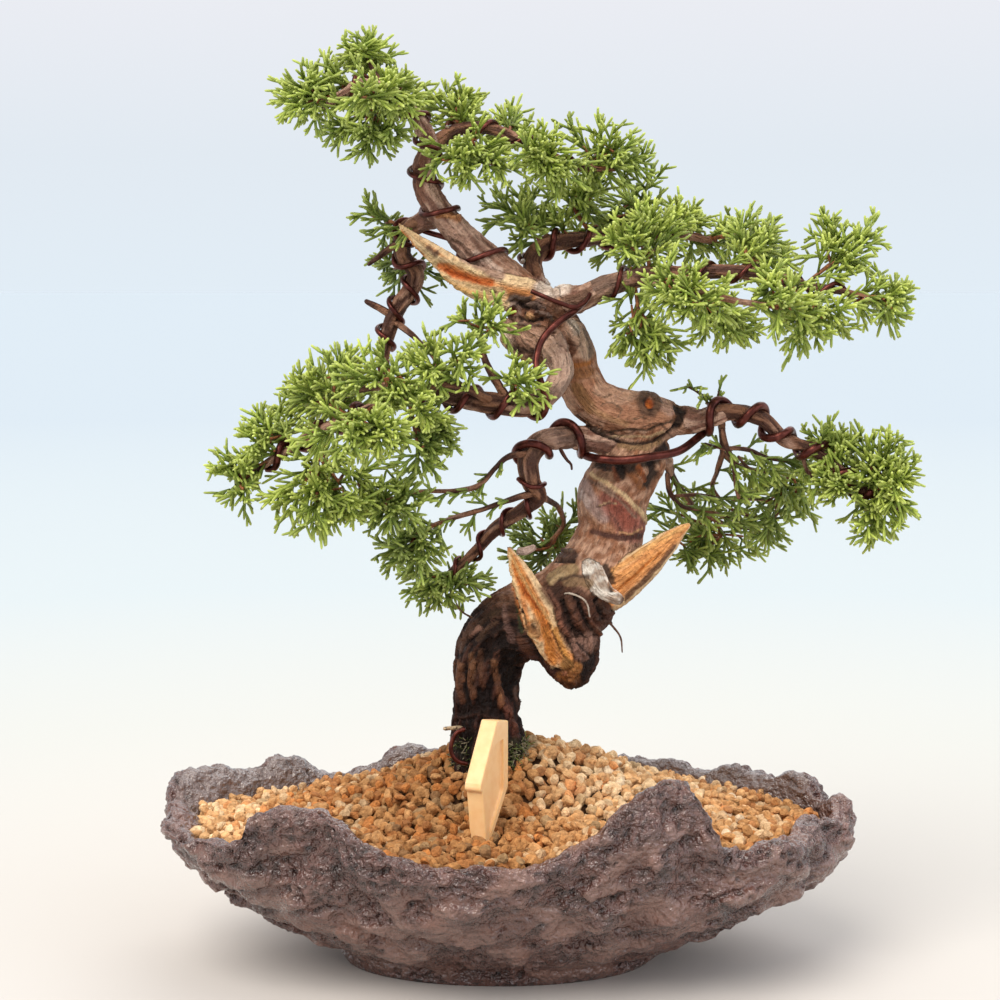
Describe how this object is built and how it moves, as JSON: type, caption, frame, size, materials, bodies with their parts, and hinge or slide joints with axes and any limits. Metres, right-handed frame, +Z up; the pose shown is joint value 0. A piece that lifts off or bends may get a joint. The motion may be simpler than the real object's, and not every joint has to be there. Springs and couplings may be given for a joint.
{
  "type": "bonsai tree in a pot",
  "caption": "Small juniper trained as a bonsai: a twisted, wire-shaped trunk with torn deadwood and sprays of scale leaves, standing in gravel in a rough rock-shaped bowl.",
  "frame": {"origin": "centre of the flat underside of the bowl's foot", "axes": "+Z straight up, +X to the viewer's right and +Y away from the viewer when the bowl's higher front lobe is at the front right; the front looks towards -Y"},
  "size_m": [0.3291, 0.1997, 0.398],
  "materials": {
    "stoneware": "satin",
    "gravel": "matte",
    "bark": "matte",
    "foliage": "satin",
    "wire": "satin",
    "label": "satin",
    "mesh": "matte"
  },
  "bodies": {
    "root": {"bowl": "stoneware", "drain_mesh_left": "mesh", "drain_mesh_right": "mesh", "gravel": "gravel", "wood": "bark", "wire_low": "wire", "wire_mid": "wire", "wire_crown": "wire", "wire_high_left": "wire", "wire_right_high": "wire", "wire_back_high": "wire", "wire_left_low": "wire", "wire_crown_right": "wire", "wire_anchor": "wire", "label": "label", "spray_crown_tip": "foliage", "spray_crown_under": "foliage", "spray_crown_top": "foliage", "spray_crown_front": "foliage", "spray_crown_back": "foliage", "spray_peak_left": "foliage", "spray_peak_mid": "foliage", "spray_peak_tip": "foliage", "spray_peak_under": "foliage", "spray_peak_low": "foliage", "spray_high_outer": "foliage", "spray_high_inner": "foliage", "spray_arch_left": "foliage", "spray_arch_top": "foliage", "spray_arch_twig": "foliage", "spray_back_mid": "foliage", "spray_back_end": "foliage", "spray_right_tip": "foliage", "spray_right_top": "foliage", "spray_right_under": "foliage", "spray_right_mid": "foliage", "spray_right_low": "foliage", "spray_right_hang": "foliage", "spray_right_near": "foliage", "spray_front_near": "foliage", "spray_front_end": "foliage", "spray_tuft_top": "foliage", "spray_tuft_side": "foliage", "spray_tuft_left": "foliage", "spray_left_tip": "foliage", "spray_left_upper": "foliage", "spray_left_top": "foliage", "spray_left_under": "foliage", "spray_left_inner": "foliage", "spray_left_front": "foliage", "spray_left_crest": "foliage", "spray_left_back": "foliage", "spray_low_left": "foliage", "spray_low_outer": "foliage", "spray_low_tip": "foliage", "spray_behind": "foliage", "spray_hang_end": "foliage", "spray_hang_low": "foliage", "spray_low_right": "foliage"}
  },
  "joints": []
}
